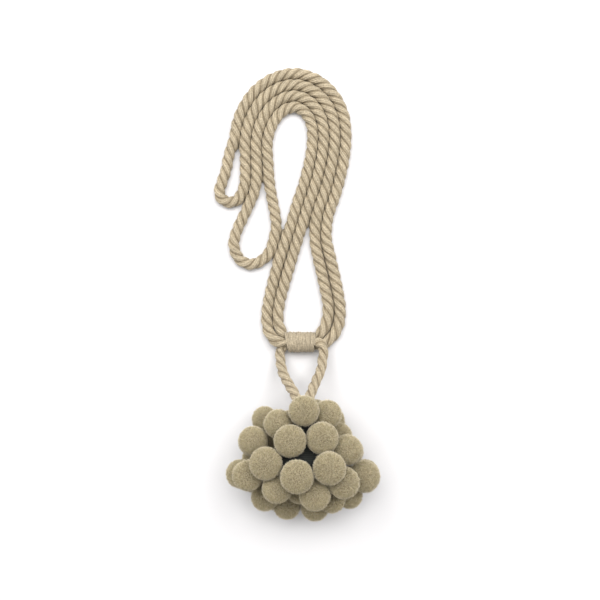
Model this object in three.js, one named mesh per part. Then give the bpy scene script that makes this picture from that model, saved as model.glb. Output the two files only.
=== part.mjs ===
// Curtain tieback: a doubled rope embrace, pinched by a whipped binding that carries a tassel of pompoms.
// It lies flat on a surface. Millimetres, +Z up, +Y from the tassel towards the arch of the rope.
import * as THREE from "three";
import { mergeVertices } from "three/addons/utils/BufferGeometryUtils.js";

// Clearance between pieces that touch
const GAP = 0.3;

// Middle of the whole part in the plane of the routes below; the part's origin lies there, on the surface
const MIDDLE = new THREE.Vector3(-4.3, 8.4, 0);

// Twisted cord of the embrace and of the tassel
const CORD_DIAMETER = 9.1;
const CORD_STRANDS = 3;
const CORD_LAY = 24.5;
const CORD_GROOVE = 0.17;
const CORD_SETTLE = 0.35;
const CORD_PARTING = 0.45;
const POINTS_PER_STRAND = 3;
const STEPS_PER_LAY = 8;
const ARC_DIVISIONS = 40;
const LEFT_HAND = -1;

// Binding: a whipping of thin yarn round three squeezed cords, its axis along X
const BINDING_LENGTH = 24.5;
const BINDING_CENTRE = new THREE.Vector3(0.75, -35.7, 8.1);
const BINDING_TURNS = 14;
const BINDING_YARN = 0.9;
const BINDING_RIB = 0.3;
const BINDING_SIDES = 16;
const BINDING_MOUTH = 0.45;
const BINDING_FLARE = 1.5;
const SQUEEZED_DIAMETER = 6.4;
const SQUEEZE_INSIDE = 13;
const SQUEEZE_OUTSIDE = 27;

// The three cords in the binding: degrees round the bundle at its left end, and the twist along it
const BUNDLE_PARTING = 0.9;
const BUNDLE_TWIST = -120;
const BUNDLE_STATIONS = 4;
const ROPE_ENDS_TURN = 90;
const ROPE_MIDDLE_TURN = -30;
const TASSEL_TURN = 210;
const LEFT_END_SHARE = 0.48;
const RIGHT_END_SHARE = 0.52;

// Tassel: a soft core on which the pompoms sit, its axis along -Y
const CORE_TOP = new THREE.Vector3(2.4, -84.3, 54);
const CORE_SIDES = 16;
const SEAT_ASIDE = 4.7;
const SEAT_LOWER = 4;
const SEAT_STRAIGHT = 3.6;
const POMPOM_DETAIL = 3;
const POMPOM_SETTLE = 1.15;
const POMPOM_SNUG = 0.12;

// Finishes
const CORD_FINISH = { color: 0xc4b494, roughness: 0.9 };
const YARN_FINISH = { color: 0xc8b898, roughness: 0.85 };
const CORE_FINISH = { color: 0x24282c, roughness: 1 };
const POMPOM_FINISH = { color: 0xa6987a, roughness: 1 };

const CORD_RADIUS = CORD_DIAMETER / 2;
const SQUEEZED_RADIUS = SQUEEZED_DIAMETER / 2;
const CORD_PITCH = CORD_DIAMETER + CORD_PARTING;
const LYING = CORD_RADIUS - CORD_SETTLE;
const BUNDLE_RADIUS = (SQUEEZED_DIAMETER + BUNDLE_PARTING) / Math.sqrt(3);

// Middle of the four strands that run side by side over the arch, from the right foot to the left foot
const BAND = [
  [11.1, 78.2],
  [17.1, 95.8],
  [22.2, 116],
  [25, 138],
  [22.8, 156.5],
  [14.5, 170.3],
  [1, 178.6],
  [-13, 178],
  [-26.5, 170.3],
  [-36.3, 157],
  [-41, 143.5],
  [-42.2, 135.7],
];
const BAND_STATIONS = 14;

// Hook loop of the inner arm, from the inner strand of the arch round to its neighbour
const INNER_LOOP = [
  [-27.6, 121.4],
  [-25.8, 97.5],
  [-21.4, 73.5],
  [-20.3, 63.3],
  [-22.2, 53],
  [-25.2, 43],
  [-30.4, 35.7],
  [-37.2, 31.6],
  [-44, 30.8],
  [-50.9, 34.2],
  [-55.3, 41],
  [-56.6, 48.7],
  [-54.7, 57.3],
  [-50.9, 66.3],
  [-46.6, 75.2],
  [-42.8, 83.4],
  [-39.5, 91.1],
  [-37.6, 100],
  [-37.1, 111.2],
  [-37.4, 123.1],
];

// Hook loop of the outer arm, from the outer strand of the arch round to its neighbour
const OUTER_LOOP = [
  [-60.9, 123.1],
  [-63, 112],
  [-66.4, 101.7],
  [-68.9, 93.2],
  [-67.1, 86.8],
  [-61.1, 83.8],
  [-54.3, 85.1],
  [-50.4, 90.4],
  [-47.5, 98.3],
  [-46.8, 109.4],
  [-46.9, 122.3],
];

// The four tails, from the binding up to the foot of the arch; a third number lifts a point off the surface
const TAIL_1 = [
  [20.5, -37, 1.2],
  [28, -31],
  [32.8, -22.2],
  [34.5, -12.8],
  [34.2, -3.4],
  [32.5, 6.8],
  [30.3, 18],
  [25.1, 40.6],
  [22.7, 51.3],
  [22.9, 63.3],
];
const TAIL_2 = [
  [18.2, -27.6, 1.2],
  [22.5, -19],
  [24.1, -6],
  [22.7, 3.4],
  [17.4, 27.4],
  [14.7, 39.3],
  [12.7, 51.3],
  [13.3, 65],
];
const TAIL_3 = [
  [-15.2, -28.4, 1.2],
  [-18.6, -18],
  [-18.6, -10.3],
  [-16.7, 0.9],
  [-8.8, 29.1],
  [1.3, 62.4],
];
const TAIL_4 = [
  [-19.8, -35, 5.4],
  [-26, -28.3, 1.4],
  [-28.4, -18.8],
  [-28.2, -10.3],
  [-26.5, 0.9],
  [-19, 30.8],
  [-7.7, 65],
];

// The two legs of the tassel cord, from the binding to the top of the core
const LEG_LEFT = [
  [-16, -41.5, 1.6],
  [-17, -46.5, 3.4],
  [-16.6, -51.5, 7.6],
  [-14.6, -60.1, 17],
  [-9.4, -68.9, 30],
  [-4.6, -75.6, 41],
];
const LEG_RIGHT = [
  [18.2, -37.2, 9.3],
  [19.8, -42, 9.6],
  [19.3, -47.6, 10.8],
  [17.5, -57.6, 18],
  [11.9, -68.9, 31],
  [8.6, -75.6, 41],
];

// Core's outline: how far down its axis, and its radius there
const CORE_OUTLINE = [
  { down: 0, radius: 10.5 },
  { down: 8, radius: 9 },
  { down: 16, radius: 10 },
  { down: 26, radius: 17 },
  { down: 34, radius: 24 },
  { down: 41, radius: 29 },
  { down: 46, radius: 27.5 },
  { down: 51, radius: 20 },
  { down: 54, radius: 12 },
];
const CORE_DEPTH = 56;

// The bunch: where the middle of each pompom lies before it settles, and its diameter
const BUNCH = [
  { x: 3.1, y: -85.2, z: 77, size: 23.4 },
  { x: 21.6, y: -89.5, z: 62.5, size: 22 },
  { x: -11.5, y: -101, z: 32, size: 21.6 },
  { x: -26.5, y: -100.4, z: 30, size: 21.2 },
  { x: -16.7, y: -97.3, z: 64, size: 22.6 },
  { x: 26.5, y: -101.3, z: 18, size: 22.6 },
  { x: 32, y: -109.7, z: 42, size: 21.4 },
  { x: 16.8, y: -106.3, z: 80.5, size: 24.6 },
  { x: -7.2, y: -110.2, z: 81, size: 24.8 },
  { x: 2.5, y: -110, z: 10, size: 23 },
  { x: -37, y: -111, z: 60, size: 22.8 },
  { x: -25, y: -119, z: 10, size: 23 },
  { x: 36.2, y: -117, z: 68, size: 23.2 },
  { x: -25, y: -123, z: 86, size: 24.8 },
  { x: 21.2, y: -125.5, z: 93, size: 24.8 },
  { x: 42.6, y: -127.4, z: 20, size: 22 },
  { x: -35.8, y: -131, z: 22, size: 22.6 },
  { x: -1.6, y: -131.9, z: 94.5, size: 25 },
  { x: -41.3, y: -136.6, z: 70, size: 24 },
  { x: 33.5, y: -140.3, z: 77, size: 24.4 },
  { x: 51.4, y: -140.8, z: 52, size: 25.2 },
  { x: -49, y: -139.7, z: 46, size: 22.6 },
  { x: -17.7, y: -144.8, z: 77, size: 23.2 },
  { x: -18, y: -144.5, z: 10, size: 23 },
  { x: 22.5, y: -146.5, z: 10, size: 23 },
  { x: 10.7, y: -149.4, z: 80, size: 23.6 },
  { x: -40.5, y: -151.5, z: 10, size: 23 },
  { x: 43.5, y: -152, z: 10, size: 23 },
  { x: 41.6, y: -156.8, z: 36, size: 22 },
  { x: -28.8, y: -159.7, z: 42, size: 22 },
  { x: 25.6, y: -158.6, z: 52, size: 22 },
  { x: 2.4, y: -163, z: 10, size: 23 },
  { x: -11.3, y: -168.8, z: 32, size: 22.4 },
  { x: 12, y: -169.8, z: 34, size: 23.4 },
  { x: 14, y: -92, z: 34, size: 22.4 },
  { x: -38, y: -114, z: 38, size: 22.6 },
  { x: 0, y: -152.5, z: 51, size: 22.6 },
  { x: 51, y: -144.5, z: 31, size: 22.6 },
  { x: -22, y: -166, z: 10, size: 22.6 },
  { x: 24.5, y: -168.5, z: 10, size: 22.6 },
  { x: 0, y: -148, z: 28.5, size: 22.6 },
  { x: 21.5, y: -149, z: 33, size: 21 },
];
const SETTLING_ROUNDS = 150;
const SEATING_ROUNDS = 6;
const PARTINGS_PER_ROUND = 40;
const HOME_PULL = 0.04;

const radians = THREE.MathUtils.degToRad;
const lerp = THREE.MathUtils.lerp;
const smoothstep = THREE.MathUtils.smoothstep;

// A closed mesh whose faces share their points
function welded(geometry) {
  geometry.deleteAttribute("normal");
  geometry.deleteAttribute("uv");
  return mergeVertices(geometry, 1e-4);
}

// Moves every point of a geometry to where a function puts it
function reshape(geometry, place) {
  const position = geometry.getAttribute("position");
  const point = new THREE.Vector3();
  for (let i = 0; i < position.count; i += 1) {
    point.fromBufferAttribute(position, i);
    place(point);
    position.setXYZ(i, point.x, point.y, point.z);
  }
  return geometry;
}

// Presses what would reach below the surface flat onto it
function settle(geometry) {
  return reshape(geometry, (point) => {
    point.z = Math.max(point.z, 0);
  });
}

// A named piece with its finish
function piece(name, geometry, finish) {
  const material = new THREE.MeshStandardMaterial({ ...finish, metalness: 0 });
  const mesh = new THREE.Mesh(geometry, material);
  mesh.name = name;
  return mesh;
}

// Place of one of the three squeezed cords, a share of the way from the binding's left end to its right end
function inBinding(startTurn, share) {
  const turn = radians(startTurn + BUNDLE_TWIST * share);
  const across = (share - 0.5) * BINDING_LENGTH;
  const offset = new THREE.Vector3(across, BUNDLE_RADIUS * Math.cos(turn), BUNDLE_RADIUS * Math.sin(turn));
  return offset.add(BINDING_CENTRE);
}

// One cord's way along the binding, between two shares of its length
function throughBinding(startTurn, from, to) {
  const stations = [];
  for (let i = 0; i <= BUNDLE_STATIONS; i += 1) {
    stations.push(inBinding(startTurn, lerp(from, to, i / BUNDLE_STATIONS)));
  }
  return stations;
}

// Places of a cord that lies on the surface, or is lifted off it
function lying(points) {
  return points.map(([x, y, lift = 0]) => new THREE.Vector3(x, y, LYING + lift));
}

// One of the strands over the arch, counted in cord pitches outwards from the middle of the band
function overArch(pitches) {
  const guide = new THREE.CatmullRomCurve3(lying(BAND), false, "centripetal");
  const stations = [];
  for (let i = 0; i <= BAND_STATIONS; i += 1) {
    const share = i / BAND_STATIONS;
    const along = guide.getTangentAt(share);
    const outwards = new THREE.Vector3(along.y, -along.x, 0).normalize();
    stations.push(guide.getPointAt(share).addScaledVector(outwards, pitches * CORD_PITCH));
  }
  return stations;
}

// Radius of the cord at a place: the binding squeezes it
function cordRadius(place) {
  const ease = smoothstep(place.distanceTo(BINDING_CENTRE), SQUEEZE_INSIDE, SQUEEZE_OUTSIDE);
  return lerp(SQUEEZED_RADIUS, CORD_RADIUS, ease);
}

// Twisted cord along a route: a cylinder laid along it, its points raised into the strands
function twistedCord(route) {
  const curve = new THREE.CatmullRomCurve3(route, false, "centripetal");
  curve.arcLengthDivisions = route.length * ARC_DIVISIONS;
  const length = curve.getLength();
  const steps = Math.round((length / CORD_LAY) * STEPS_PER_LAY);
  const sides = CORD_STRANDS * POINTS_PER_STRAND;
  const cylinder = new THREE.CylinderGeometry(1, 1, 1, sides, steps);
  const upwards = new THREE.Vector3(0, 0, 1);
  return reshape(welded(cylinder), (point) => {
    const share = THREE.MathUtils.clamp(point.y + 0.5, 0, 1);
    const centre = curve.getPointAt(share);
    const along = curve.getTangentAt(share);
    const side = new THREE.Vector3().crossVectors(upwards, along).normalize();
    const over = new THREE.Vector3().crossVectors(along, side);
    const angle = Math.atan2(point.x, point.z);
    const fromCrest = Math.abs(Math.sin((angle * CORD_STRANDS) / 2));
    const reach = Math.hypot(point.x, point.z) * cordRadius(centre) * (1 - CORD_GROOVE * fromCrest);
    const turn = angle + (LEFT_HAND * 2 * Math.PI * share * length) / CORD_LAY;
    point.copy(centre);
    point.addScaledVector(side, reach * Math.cos(turn));
    point.addScaledVector(over, reach * Math.sin(turn));
  });
}

// One rope: a tail, the inner arm, the middle through the binding, the outer arm and the other tail
function makeEmbraceRope() {
  const route = [
    ...throughBinding(ROPE_ENDS_TURN, LEFT_END_SHARE, 0),
    ...lying(TAIL_4),
    ...overArch(-1.5),
    ...lying(INNER_LOOP),
    ...overArch(-0.5).reverse(),
    ...lying(TAIL_3).reverse(),
    ...throughBinding(ROPE_MIDDLE_TURN, 0, 1),
    ...lying(TAIL_1),
    ...overArch(1.5),
    ...lying(OUTER_LOOP),
    ...overArch(0.5).reverse(),
    ...lying(TAIL_2).reverse(),
    ...throughBinding(ROPE_ENDS_TURN, 1, RIGHT_END_SHARE),
  ];
  return piece("embrace_rope", settle(twistedCord(route)), CORD_FINISH);
}

// The last stretch of a leg, square onto the top of the core to one side of its axis
function seatOnCore(aside) {
  const end = new THREE.Vector3(CORE_TOP.x + aside, CORE_TOP.y + GAP, CORE_TOP.z - SEAT_LOWER);
  const before = end.clone().setY(end.y + SEAT_STRAIGHT);
  return [before, end];
}

// A short cord through the binding, whose two legs carry the tassel
function makeTasselCord() {
  const route = [
    ...seatOnCore(-SEAT_ASIDE).reverse(),
    ...lying(LEG_LEFT).reverse(),
    ...throughBinding(TASSEL_TURN, 0, 1),
    ...lying(LEG_RIGHT),
    ...seatOnCore(SEAT_ASIDE),
  ];
  return piece("tassel_cord", settle(twistedCord(route)), CORD_FINISH);
}

// Sleeve of yarn turns round the squeezed cords, turned about its own axis and laid along X. It opens a little at
// both ends, where the cords begin to part.
function makeBinding() {
  const inside = BUNDLE_RADIUS + SQUEEZED_RADIUS + GAP;
  const end = BINDING_LENGTH / 2;
  const pitch = BINDING_LENGTH / BINDING_TURNS;
  const valley = inside + BINDING_YARN - BINDING_RIB;
  const outline = [
    new THREE.Vector2(inside, BINDING_FLARE - end),
    new THREE.Vector2(inside + BINDING_MOUTH, -end),
    new THREE.Vector2(valley + BINDING_MOUTH, -end),
    new THREE.Vector2(valley + BINDING_RIB, pitch / 2 - end),
  ];
  for (let i = 1; i < BINDING_TURNS; i += 1) {
    const start = i * pitch - end;
    outline.push(new THREE.Vector2(valley, start));
    outline.push(new THREE.Vector2(valley + BINDING_RIB, start + pitch / 2));
  }
  outline.push(new THREE.Vector2(valley + BINDING_MOUTH, end));
  outline.push(new THREE.Vector2(inside + BINDING_MOUTH, end));
  outline.push(new THREE.Vector2(inside, end - BINDING_FLARE));
  outline.push(outline[0]);
  const sleeve = welded(new THREE.LatheGeometry(outline, BINDING_SIDES, Math.PI / BINDING_SIDES));
  sleeve.rotateZ(-Math.PI / 2);
  sleeve.translate(BINDING_CENTRE.x, BINDING_CENTRE.y, BINDING_CENTRE.z);
  return piece("binding", settle(sleeve), YARN_FINISH);
}

// The soft core, turned about its own axis
function makeCore() {
  const outline = [new THREE.Vector2(0, -CORE_DEPTH)];
  for (const { down, radius } of [...CORE_OUTLINE].reverse()) {
    outline.push(new THREE.Vector2(radius, -down));
  }
  outline.push(new THREE.Vector2(0, 0));
  const core = welded(new THREE.LatheGeometry(outline, CORE_SIDES));
  const mesh = piece("tassel_core", core, CORE_FINISH);
  mesh.position.copy(CORE_TOP);
  return mesh;
}

// Radius of the core a given way down its axis, none beyond its ends
function coreRadius(down) {
  const rows = [...CORE_OUTLINE, { down: CORE_DEPTH, radius: 0 }];
  for (let i = 1; i < rows.length; i += 1) {
    const from = rows[i - 1];
    const to = rows[i];
    if (down >= from.down && down <= to.down) {
      return lerp(from.radius, to.radius, (down - from.down) / (to.down - from.down));
    }
  }
  return 0;
}

// Nearest point of the core's surface to a point outside it, found along the core's outline
function nearestOnCore(point) {
  const local = point.clone().sub(CORE_TOP);
  const round = Math.atan2(local.x, local.z);
  const best = new THREE.Vector3();
  let shortest = Infinity;
  for (let down = 0; down <= CORE_DEPTH; down += 1) {
    const radius = coreRadius(down);
    const there = new THREE.Vector3(radius * Math.sin(round), -down, radius * Math.cos(round));
    const distance = there.distanceTo(local);
    if (distance < shortest) {
      shortest = distance;
      best.copy(there);
    }
  }
  return best.add(CORE_TOP);
}

// Pompoms at their first places
function bunchedPompoms() {
  return BUNCH.map(({ x, y, z, size }) => {
    const home = new THREE.Vector3(x, y, z);
    return { home, centre: home.clone(), radius: size / 2 };
  });
}

// Keeps a ball a given distance from a point by moving it straight away
function pushAway(centre, from, distance) {
  const away = centre.clone().sub(from);
  const lack = distance - away.length();
  if (lack > 0) {
    centre.addScaledVector(away.normalize(), lack);
  }
}

// Parts the pompoms from the core, the cord, the surface and each other
function partPompoms(pompoms, cordCentres) {
  for (const { centre, radius } of pompoms) {
    pushAway(centre, nearestOnCore(centre), radius + GAP);
    for (const place of cordCentres) {
      pushAway(centre, place, radius + CORD_RADIUS + GAP);
    }
    centre.z = Math.max(centre.z, radius - POMPOM_SETTLE);
  }
  pompoms.forEach((one, i) => {
    for (const other of pompoms.slice(i + 1)) {
      const apart = one.radius + other.radius + POMPOM_SNUG;
      const between = other.centre.clone().sub(one.centre);
      const lack = apart - between.length();
      if (lack > 0) {
        between.normalize();
        one.centre.addScaledVector(between, -lack / 2);
        other.centre.addScaledVector(between, lack / 2);
      }
    }
  });
}

// The nearest point that could carry a pompom: on the core, or on a pompom that is already seated
function nearestCarrier(pompom, seated) {
  const onCore = nearestOnCore(pompom.centre);
  const best = { toward: onCore, slack: onCore.distanceTo(pompom.centre) - pompom.radius - GAP };
  for (const { centre, radius } of seated) {
    const slack = centre.distanceTo(pompom.centre) - radius - pompom.radius - POMPOM_SNUG;
    if (slack < best.slack) {
      best.toward = centre;
      best.slack = slack;
    }
  }
  return best;
}

// Draws each pompom in onto what carries it, the nearest one first
function seatPompoms(pompoms) {
  const seated = [];
  const loose = new Set(pompoms);
  while (loose.size > 0) {
    const choices = [...loose].map((pompom) => ({ pompom, ...nearestCarrier(pompom, seated) }));
    choices.sort((a, b) => a.slack - b.slack);
    const { pompom, toward, slack } = choices[0];
    const inwards = toward.clone().sub(pompom.centre).normalize();
    pompom.centre.addScaledVector(inwards, Math.max(slack, 0));
    pompom.seat = toward;
    loose.delete(pompom);
    seated.push(pompom);
  }
}

// Lets the soft bunch come to rest: the pompoms nestle against the core, each other and the surface
function settledPompoms(cordCentres) {
  const pompoms = bunchedPompoms();
  for (let round = 0; round < SETTLING_ROUNDS; round += 1) {
    for (const { home, centre } of pompoms) {
      centre.lerp(home, HOME_PULL);
    }
    partPompoms(pompoms, cordCentres);
  }
  for (let round = 0; round < SEATING_ROUNDS; round += 1) {
    seatPompoms(pompoms);
    for (let parting = 0; parting < PARTINGS_PER_ROUND; parting += 1) {
      partPompoms(pompoms, cordCentres);
    }
  }
  return pompoms;
}

// One clipped yarn ball, a point of it towards its seat, with a small flat where it rests on the surface
function makePompom({ centre, radius, seat }, index) {
  const ball = welded(new THREE.OctahedronGeometry(radius, POMPOM_DETAIL));
  ball.lookAt(seat.clone().sub(centre));
  ball.translate(centre.x, centre.y, centre.z);
  const name = `pompom_${String(index + 1).padStart(2, "0")}`;
  return piece(name, settle(ball), POMPOM_FINISH);
}

const tieback = new THREE.Group();
const tassel = new THREE.Group();
const legs = [...lying(LEG_LEFT), ...lying(LEG_RIGHT)];
tassel.add(makeTasselCord(), makeCore());
settledPompoms(legs).forEach((pompom, index) => {
  tassel.add(makePompom(pompom, index));
});
tieback.add(makeEmbraceRope(), makeBinding(), tassel);
tieback.position.sub(MIDDLE);

export default tieback;
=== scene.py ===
"""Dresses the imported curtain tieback: twisted rope, wound binding, tassel cord, core and clipped pompoms.

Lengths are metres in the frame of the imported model: +Z up from the surface that the tieback lies on,
+Y along it from the tassel towards the arch of the rope.
"""

import logging
import math
from dataclasses import dataclass, field
from enum import Enum
from typing import Callable, ClassVar

import bmesh
import bpy
import numpy as np
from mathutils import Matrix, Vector


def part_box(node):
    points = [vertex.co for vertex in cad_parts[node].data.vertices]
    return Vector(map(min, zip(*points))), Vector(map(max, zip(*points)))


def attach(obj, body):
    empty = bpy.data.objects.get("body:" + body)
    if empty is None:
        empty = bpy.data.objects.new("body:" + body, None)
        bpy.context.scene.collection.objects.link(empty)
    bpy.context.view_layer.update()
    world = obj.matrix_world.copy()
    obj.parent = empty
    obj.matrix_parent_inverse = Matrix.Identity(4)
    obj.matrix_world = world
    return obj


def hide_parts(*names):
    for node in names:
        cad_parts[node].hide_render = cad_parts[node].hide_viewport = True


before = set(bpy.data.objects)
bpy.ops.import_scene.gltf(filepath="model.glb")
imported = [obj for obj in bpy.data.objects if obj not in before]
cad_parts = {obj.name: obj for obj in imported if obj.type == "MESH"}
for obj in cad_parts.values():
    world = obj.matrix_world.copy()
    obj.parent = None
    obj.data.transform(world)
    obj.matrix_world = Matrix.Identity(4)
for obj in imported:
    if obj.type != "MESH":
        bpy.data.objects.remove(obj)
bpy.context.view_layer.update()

LOG = logging.getLogger("tieback")
BODY = "root"

Array = np.ndarray
Colour = tuple[float, float, float]
Point = tuple[float, ...]
Profile = Callable[[Array, Array], tuple[Array, Array, Array]]
PileGroup = tuple[Array, Array, Array, Array]

# Where the zero of the routes below lies in the part's frame
ROUTE_ZERO = np.array((0.0043, -0.0084, 0.0))
# Height of the middle of a cord that lies on the surface
LYING = 0.0042
CURVE_POINTS_PER_SPAN = 40
# Points closer than this are one
MERGED = 1e-6
# Corners of a spike, and the turn between neighbours that spreads points evenly over a ball
SPIKE_CORNERS = 4
GOLDEN_TURN = math.pi * (1.0 + math.sqrt(5.0))

CORD_DIAMETER = 0.0091
CORD_PITCH = 0.00955
CORD_LAY = 0.0245
CORD_STRANDS = 3

BINDING_CENTRE = np.array((0.00075, -0.0357, 0.0081)) + ROUTE_ZERO
BINDING_LENGTH = 0.0245
SQUEEZED_DIAMETER = 0.0064
SQUEEZE_INSIDE = 0.0122
SQUEEZE_OUTSIDE = 0.0195
BUNDLE_PARTING = 0.0009
BUNDLE_RADIUS = (SQUEEZED_DIAMETER + BUNDLE_PARTING) / math.sqrt(3)
BUNDLE_TWIST = -120
BUNDLE_STATIONS = 4
ROPE_ENDS_TURN = 90
ROPE_MIDDLE_TURN = -30
TASSEL_TURN = 210
LEFT_END_SHARE = 0.48
RIGHT_END_SHARE = 0.52

CORE_TOP = np.array((0.0024, -0.0843, 0.054)) + ROUTE_ZERO
SEAT_GAP = 0.0003
SEAT_ASIDE = 0.0047
SEAT_LOWER = 0.004
SEAT_STRAIGHT = 0.0036

# The cords' routes: x, y and, where the cord is lifted off the surface, by how much
BAND_STATIONS = 14
BAND: list[Point] = [
    (0.0111, 0.0782), (0.0171, 0.0958), (0.0222, 0.116), (0.025, 0.138), (0.0228, 0.1565),
    (0.0145, 0.1703), (0.001, 0.1786), (-0.013, 0.178), (-0.0265, 0.1703), (-0.0363, 0.157),
    (-0.041, 0.1435), (-0.0422, 0.1357),
]
INNER_LOOP: list[Point] = [
    (-0.0276, 0.1214), (-0.0258, 0.0975), (-0.0214, 0.0735), (-0.0203, 0.0633), (-0.0222, 0.053),
    (-0.0252, 0.043), (-0.0304, 0.0357), (-0.0372, 0.0316), (-0.044, 0.0308), (-0.0509, 0.0342),
    (-0.0553, 0.041), (-0.0566, 0.0487), (-0.0547, 0.0573), (-0.0509, 0.0663), (-0.0466, 0.0752),
    (-0.0428, 0.0834), (-0.0395, 0.0911), (-0.0376, 0.1), (-0.0371, 0.1112), (-0.0374, 0.1231),
]
OUTER_LOOP: list[Point] = [
    (-0.0609, 0.1231), (-0.063, 0.112), (-0.0664, 0.1017), (-0.0689, 0.0932), (-0.0671, 0.0868),
    (-0.0611, 0.0838), (-0.0543, 0.0851), (-0.0504, 0.0904), (-0.0475, 0.0983), (-0.0468, 0.1094),
    (-0.0469, 0.1223),
]
TAIL_1: list[Point] = [
    (0.0205, -0.037, 0.0012), (0.028, -0.031), (0.0328, -0.0222), (0.0345, -0.0128), (0.0342, -0.0034),
    (0.0325, 0.0068), (0.0303, 0.018), (0.0251, 0.0406), (0.0227, 0.0513), (0.0229, 0.0633),
]
TAIL_2: list[Point] = [
    (0.0182, -0.0276, 0.0012), (0.0225, -0.019), (0.0241, -0.006), (0.0227, 0.0034), (0.0174, 0.0274),
    (0.0147, 0.0393), (0.0127, 0.0513), (0.0133, 0.065),
]
TAIL_3: list[Point] = [
    (-0.0152, -0.0284, 0.0012), (-0.0186, -0.018), (-0.0186, -0.0103), (-0.0167, 0.0009),
    (-0.0088, 0.0291), (0.0013, 0.0624),
]
TAIL_4: list[Point] = [
    (-0.0198, -0.035, 0.0054), (-0.026, -0.0283, 0.0014), (-0.0284, -0.0188), (-0.0282, -0.0103),
    (-0.0265, 0.0009), (-0.019, 0.0308), (-0.0077, 0.065),
]
LEG_LEFT: list[Point] = [
    (-0.016, -0.0415, 0.0016), (-0.017, -0.0465, 0.0034), (-0.0166, -0.0515, 0.0076),
    (-0.0146, -0.0601, 0.017), (-0.0094, -0.0689, 0.03), (-0.0046, -0.0756, 0.041),
]
LEG_RIGHT: list[Point] = [
    (0.0182, -0.0372, 0.0093), (0.0198, -0.042, 0.0096), (0.0193, -0.0476, 0.0108),
    (0.0175, -0.0576, 0.018), (0.0119, -0.0689, 0.031), (0.0086, -0.0756, 0.041),
]


class Slot(Enum):
    """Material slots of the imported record."""

    ROPE = "rope"
    BINDING = "binding_yarn"
    CORE = "core_yarn"
    PILE = "pompom_pile"


class Around(Enum):
    """The two ways along the arch."""

    FORWARD = 1
    BACK = -1


def catmull_rom(points: Array) -> Array:
    """Draws a centripetal curve through points.

    Args:
        points: the places that the curve passes, one a row.

    Returns:
        Closely spaced places along the curve.
    """
    ends = np.vstack((2 * points[0] - points[1], points, 2 * points[-1] - points[-2]))
    chords = np.linalg.norm(np.diff(ends, axis=0), axis=1)
    knots = np.concatenate(([0.0], np.cumsum(np.sqrt(chords))))
    spans = []
    for i in range(1, len(ends) - 2):
        p0, p1, p2, p3 = ends[i - 1 : i + 3]
        k0, k1, k2, k3 = knots[i - 1 : i + 3]
        t = np.linspace(k1, k2, CURVE_POINTS_PER_SPAN, endpoint=False)[:, None]
        a1 = ((k1 - t) * p0 + (t - k0) * p1) / (k1 - k0)
        a2 = ((k2 - t) * p1 + (t - k1) * p2) / (k2 - k1)
        a3 = ((k3 - t) * p2 + (t - k2) * p3) / (k3 - k2)
        b1 = ((k2 - t) * a1 + (t - k0) * a2) / (k2 - k0)
        b2 = ((k3 - t) * a2 + (t - k1) * a3) / (k3 - k1)
        spans.append(((k2 - t) * b1 + (t - k1) * b2) / (k2 - k1))
    return np.vstack((*spans, points[-1:]))


def along_curve(curve: Array, count: int) -> Array:
    """Spaces places evenly along a curve.

    Args:
        curve: closely spaced places along it.
        count: how many even places are wanted.

    Returns:
        The even places, with the curve's two ends.
    """
    run = np.concatenate(([0.0], np.cumsum(np.linalg.norm(np.diff(curve, axis=0), axis=1))))
    stations = np.linspace(0.0, run[-1], count)
    return np.column_stack([np.interp(stations, run, curve[:, axis]) for axis in range(3)])


def unit(vectors: Array) -> Array:
    """Scales each row to a length of one."""
    return vectors / np.linalg.norm(vectors, axis=1, keepdims=True)


def smoothstep(value: Array, low: float, high: float) -> Array:
    """Eases values from 0 at low to 1 at high."""
    share = np.clip((value - low) / (high - low), 0.0, 1.0)
    return share * share * (3 - 2 * share)


def spikes(rng: np.random.Generator, roots: Array, ends: Array, width: Array) -> tuple[Array, Array]:
    """Makes closed three-sided spikes.

    Args:
        rng: source of their turn.
        roots: middle of each root.
        ends: each point.
        width: each root's radius, one a row.

    Returns:
        Corners, four a spike, and faces.
    """
    along = unit(ends - roots)
    aside = unit(np.cross(along, rng.normal(0.0, 1.0, along.shape)))
    over = np.cross(along, aside)
    corners = [
        roots + width * (math.cos(turn) * aside + math.sin(turn) * over)
        for turn in (0.0, math.tau / 3, 2 * math.tau / 3)
    ]
    points = np.stack((*corners, ends), axis=1).reshape(-1, 3)
    first = np.arange(len(roots))[:, None] * SPIKE_CORNERS
    sides = ((0, 1, 3), (1, 2, 3), (2, 0, 3), (0, 2, 1))
    return points, np.concatenate([first + np.array(side) for side in sides])


def lying(points: list[Point]) -> Array:
    """Places of a cord that lies on the surface or is lifted off it.

    Args:
        points: x, y and an optional lift of each place.

    Returns:
        The places in the part's frame, one a row.
    """
    rows = [(*p[:2], LYING + (p[2] if len(p) > 2 else 0.0)) for p in points]
    return np.array(rows) + ROUTE_ZERO


def over_arch(pitches: float, way: Around) -> Array:
    """One of the rope runs side by side over the arch.

    Args:
        pitches: its place, in cord pitches outwards from the middle of the band.
        way: whether the rope runs away from the tails or back to them.

    Returns:
        Places along the run.
    """
    curve = catmull_rom(lying(BAND))
    middle = along_curve(curve, BAND_STATIONS + 1)
    fine = along_curve(curve, BAND_STATIONS * CURVE_POINTS_PER_SPAN + 1)
    tangent = unit(np.gradient(fine, axis=0))[::CURVE_POINTS_PER_SPAN]
    outwards = np.column_stack((tangent[:, 1], -tangent[:, 0], np.zeros(len(tangent))))
    return (middle + pitches * CORD_PITCH * outwards)[:: way.value]


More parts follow.
